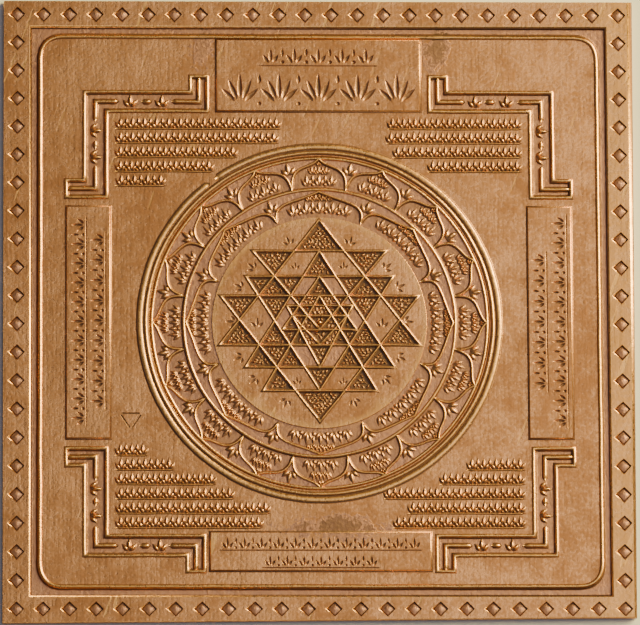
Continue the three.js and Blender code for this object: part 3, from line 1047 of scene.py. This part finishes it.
class YANTRA_OT_rows(bpy.types.Operator):
    """Sets the rows of small palmettes on their stems at the four corners"""
    bl_idname = "yantra.rows"
    bl_label = "Palmette rows"

    def execute(self, context):
        for corner, (side, rise) in zip(CORNERS, ROW_BLOCKS):
            rows = Metal()
            for start, length in row_places(side, rise):
                for figure in palmette_row(start, ALONG, length, ROW_HEIGHT, 1.15, 0.66, 0.28):
                    rows.boss(figure, FIELD, 0.17 * MM, crest=0.05)
                stem = cut_up([start, start + ALONG * length], 0.5 * MM)
                rows.ridge(waver(stem), 0.1 * MM, FIELD, FIELD + 0.13 * MM, crown=0.3)
            make(f"{corner}_palmettes", rows)
        return {"FINISHED"}


class YANTRA_OT_rings(bpy.types.Operator):
    """Raises the circles and both rings of petals"""
    bl_idname = "yantra.rings"
    bl_label = "Circles and petals"

    def execute(self, context):
        outer = Metal()
        nick = NICK_WIDTH / WIDE_RADIUS
        turn = 2 * math.pi - nick
        line = [on_circle(WIDE_RADIUS, NICK_PLACE + nick / 2 + turn * i / 280) for i in range(281)]
        outer.ridge(waver(line[::-1]), WIDE_HALF, FIELD, WIDE_LINE_CREST, crown=0.58)
        make("outer_ring", outer, ("outer_circle",))
        second = Metal()
        second.ridge(waver(circle(SECOND_RADIUS, 240)), NARROW_HALF, FIELD, LOW_LINE_CREST, closed=True)
        make("second_ring", second, ("second_circle",))
        lotus = Metal()
        for radius in (THIRD_RADIUS, MIDDLE_RADIUS):
            lotus.ridge(waver(circle(radius, 200)), NARROW_HALF, FLOOR, VEIN_CREST, closed=True)
        sides = petals(OUTER_PETALS, MIDDLE_RADIUS, THIRD_RADIUS, 0.25)
        self.lotus("outer_lotus", lotus, sides, THIRD_RADIUS, OUTER_GROUND, "sixteen_petal_ring")
        sides = petals(INNER_PETALS, DISC_RADIUS + 0.1 * MM, MIDDLE_RADIUS - 0.25 * MM, 0.55)
        self.lotus("inner_lotus", Metal(), sides, MIDDLE_RADIUS, INNER_GROUND, "eight_petal_ring")
        return {"FINISHED"}

    def lotus(self, name, lotus, sides, outer, level, node):
        """Adds each petal's raised outline to a lotus, and raises the ground between the points."""
        for left, right in sides:
            line = waver(left + right[::-1][1:], 5.0)
            lotus.ridge(line, PETAL_HALF, FLOOR, VEIN_CREST, crown=0.3)
        make(name, lotus, (node,))
        ground = Metal()
        count = len(sides)
        for i in range(count):
            arriving = sides[i][1]
            leaving = sides[(i + 1) % count][0]
            start = 2 * math.pi * i / count
            arc = [on_circle(outer + SUNK * 3, start + 2 * math.pi / count * (0.996 - 0.992 * j / 12))
                   for j in range(13)]
            spandrel = arriving[-2:0:-1] + leaving[1:-1] + arc
            ground.slab(spandrel, [], FLOOR - SUNK, level, 0.02 * MM, top=GROUND_TARNISH)
        make(f"{name}_ground", ground)


class YANTRA_OT_star(bpy.types.Operator):
    """Raises the disc with its sunk cells, the nine triangles and the bindu"""
    bl_idname = "yantra.star"
    bl_label = "Star"

    def execute(self, context):
        outlines = sorted(outlines_of("star_disc", DISC), key=size_of)
        cells = [three_corners(cell) for cell in outlines[:-1]]
        disc = Metal()
        sunk = [disc.engrave(mark, DISC, 0.12 * MM) for mark in self.marks()]
        disc.slab(circle(DISC_RADIUS, 160), cells, FLOOR - SUNK, DISC, 0.06 * MM, sunk, top=DISC_TARNISH)
        disc.add_tarnish_and_sheen(DISC, self.gloom)
        make("star_ground", disc, ("star_disc",), "dark_copper")
        lines = Metal()
        for i, corners in enumerate(triangle_lines()):
            line = waver(cut_up(anticlockwise(corners), 0.7 * MM, True), i)
            lines.ridge(line, STAR_HALF, DISC, STAR_CREST, closed=True, crown=0.3)
        make("star_lines", lines, ("nine_triangle_star",), "dark_copper")
        dot = Metal()
        dot.boss(bead(CENTRE, 0.26 * MM, 16), FLOOR, 0.3 * MM)
        make("bindu_dot", dot, ("bindu",), "dark_copper")
        punched = Metal()
        for cell in cells:
            self.punch(punched, cell)
        self.crowd(punched, cells)
        make("punched_cells", punched, slot="dark_copper")
        return {"FINISHED"}

    def gloom(self, place):
        """The tarnish that gathers towards the middle of the star."""
        return STAR_GLOOM * max(0.0, 1 - (place - CENTRE).length / GLOOM_RADIUS)

    def marks(self):
        """The figures engraved round the star and in its open fields."""
        for degrees in RIM_MARKS:
            for side in (-1, 1):
                angle = side * math.radians(degrees)
                yield from palmette(on_circle(RIM_MARK_FOOT, angle), turned(angle), RIM_MARK_HEIGHT)
        for x, y, height in OPEN_FIELD_MARKS:
            for side in (-1, 1):
                foot = CENTRE + Vector((side * x * DISC_RADIUS, y * DISC_RADIUS - height * MM / 2))
                yield from palmette(foot, UP, height * MM)

    def punch(self, metal, cell):
        """Darkens the floor of a cell and covers it with small punched leaves that point every way."""
        metal.lump([metal.row(anticlockwise(cell), level, CELL_TARNISH)
                    for level in (FLOOR - SUNK, FLOOR + 0.006 * MM)], flat=True)
        a, b, c = cell
        across = min((b - a).length, (c - b).length, (a - c).length)
        count = max(3, round(across / PUNCH_PITCH))
        for i in range(1, count - 1):
            for j in range(1, count - i):
                self.strike(metal, a + (b - a) * (i / count) + (c - a) * (j / count), FLOOR,
                            min(0.5 * MM, across / count * 1.25), 0.15 * MM)

    def crowd(self, metal, cells):
        """Covers the metal between the inmost cells with the same punched leaves."""
        lines = list(triangle_lines())
        for i in range(-9, 10):
            for j in range(-9, 10):
                place = CENTRE + Vector((i + j % 2 / 2, j)) * PUNCH_PITCH
                far = (place - CENTRE).length > CROWD_RADIUS
                if far or any(inside(place, cell) > -0.2 * MM for cell in cells):
                    continue
                if all(abs(inside(place, corners)) > 0.2 * MM for corners in lines):
                    self.strike(metal, place, DISC, 0.4 * MM, 0.1 * MM)

    def strike(self, metal, place, level, length, height):
        """One punched leaf, shifted, turned and sized by where it lies."""
        chance = noise.noise_vector(Vector((place.x / MM * 3, place.y / MM * 3, 31.0)))
        ray = turned(chance.z * 9.0)
        length *= 0.9 + chance.x * 0.5
        foot = place + chance.xy * 0.16 * MM - ray * length / 2
        metal.boss(leaf(foot, ray, length, length * 0.4, 4), level, height * (0.85 + chance.y * 0.5),
                   crest=0.38)


class YANTRA_OT_petal_figures(bpy.types.Operator):
    """Fills the petals and the ground between them with small leaves and palmettes"""
    bl_idname = "yantra.petal_figures"
    bl_label = "Petal figures"

    def execute(self, context):
        figures = Metal()
        rings = ((OUTER_PETALS, MIDDLE_RADIUS, THIRD_RADIUS, OUTER_GROUND, OUTER_PETAL_ROWS),
                 (INNER_PETALS, DISC_RADIUS, MIDDLE_RADIUS, INNER_GROUND, INNER_PETAL_ROWS))
        for count, foot, tip, level, rows in rings:
            for i in range(count):
                angle = 2 * math.pi * i / count
                for above, length, height in rows:
                    start = Vector((-length / 2, 0)) * MM
                    row = palmette_row(start, ALONG, length * MM, height * MM, 1.1, 0.55, 0.25)
                    for figure in bent(row, foot + above * MM, angle):
                        figures.boss(figure, FLOOR, 0.12 * MM, 0.8, 0.28)
                angle += math.pi / count
                between = on_circle(tip - 1.85 * MM, angle)
                for figure in palmette(between, turned(angle), 1.5 * MM, slim=0.32):
                    figures.boss(figure, level, 0.15 * MM, crest=-0.12)
        make("petal_figures", figures)
        return {"FINISHED"}


class YANTRA_OT_stage(bpy.types.Operator):
    """Sets the floor, the lights and the camera"""
    bl_idname = "yantra.stage"
    bl_label = "Studio"

    def execute(self, context):
        settings = context.scene.yantra_plate
        self.floor()
        self.lamp("key", settings.key, *KEY_LAMP)
        self.lamp("overhead", settings.fill, *OVERHEAD_LAMP)
        self.camera()
        self.air()
        return {"FINISHED"}

    def place(self, name, data, location, rotation=(0, 0, 0)):
        """Puts a thing into the scene."""
        thing = bpy.data.objects.new(name, data)
        thing.location = location
        thing.rotation_euler = rotation
        bpy.context.scene.collection.objects.link(thing)
        return thing

    def floor(self):
        """The sheet of pale paper that the plate lies on."""
        mesh = bpy.data.meshes.new("floor")
        corners = ((-1, -1), (1, -1), (1, 1), (-1, 1))
        mesh.from_pydata([(x * FLOOR_HALF, y * FLOOR_HALF, 0) for x, y in corners], [], [(0, 1, 2, 3)])
        paper = Finish("floor_paper")
        paper.shader.inputs["Base Color"].default_value = FLOOR_PAPER
        paper.shader.inputs["Roughness"].default_value = FLOOR_ROUGHNESS
        mesh.materials.append(paper.material)
        floor = self.place("floor", mesh, (0, 0, BACK - FLOOR_GAP))

    def lamp(self, name, power, place, size, colour):
        """A soft rectangular lamp that faces the plate."""
        lamp = bpy.data.lights.new(name, "AREA")
        lamp.color = colour
        lamp.shape = "RECTANGLE"
        lamp.energy = power
        lamp.size, lamp.size_y = size
        self.place(name, lamp, place, (-Vector(place)).to_track_quat("-Z", "Y").to_euler())

    def camera(self):
        lens = bpy.data.cameras.new("camera")
        lens.sensor_width = CAMERA_SENSOR
        lens.lens = CAMERA_LENS
        lens.clip_start = CAMERA_NEAR
        bpy.context.scene.camera = self.place("camera", lens, CAMERA_PLACE, CAMERA_TURN)

    def air(self):
        """The faint light that comes from all round."""
        world = bpy.data.worlds.new("studio")
        world.use_nodes = True
        background = world.node_tree.nodes["Background"]
        background.inputs["Color"].default_value = AIR_COLOUR
        background.inputs["Strength"].default_value = AIR_STRENGTH
        bpy.context.scene.world = world


class YANTRA_PT_panel(bpy.types.Panel):
    """Lists the plate's steps"""
    bl_idname = "YANTRA_PT_panel"
    bl_label = "Copper Yantra Plate"
    bl_space_type = "VIEW_3D"
    bl_region_type = "UI"
    bl_category = "Yantra"

    def draw(self, context):
        for step in STEPS:
            self.layout.operator(step.bl_idname)
        for value in PlateSettings.__annotations__:
            self.layout.prop(context.scene.yantra_plate, value)


STEPS = (YANTRA_OT_stage, YANTRA_OT_sheet, YANTRA_OT_border, YANTRA_OT_plaques, YANTRA_OT_gates,
         YANTRA_OT_rows, YANTRA_OT_rings, YANTRA_OT_star, YANTRA_OT_petal_figures)
CLASSES = (PlateSettings, *STEPS, YANTRA_PT_panel)


def register():
    for kind in CLASSES:
        bpy.utils.register_class(kind)
    bpy.types.Scene.yantra_plate = bpy.props.PointerProperty(type=PlateSettings)


def unregister():
    del bpy.types.Scene.yantra_plate
    for kind in reversed(CLASSES):
        bpy.utils.unregister_class(kind)


def main():
    register()
    bpy.ops.yantra.stage()
    bpy.ops.yantra.sheet()
    bpy.ops.yantra.border()
    bpy.ops.yantra.plaques()
    bpy.ops.yantra.gates()
    bpy.ops.yantra.rows()
    bpy.ops.yantra.rings()
    bpy.ops.yantra.star()
    bpy.ops.yantra.petal_figures()


if __name__ == "__main__":
    main()
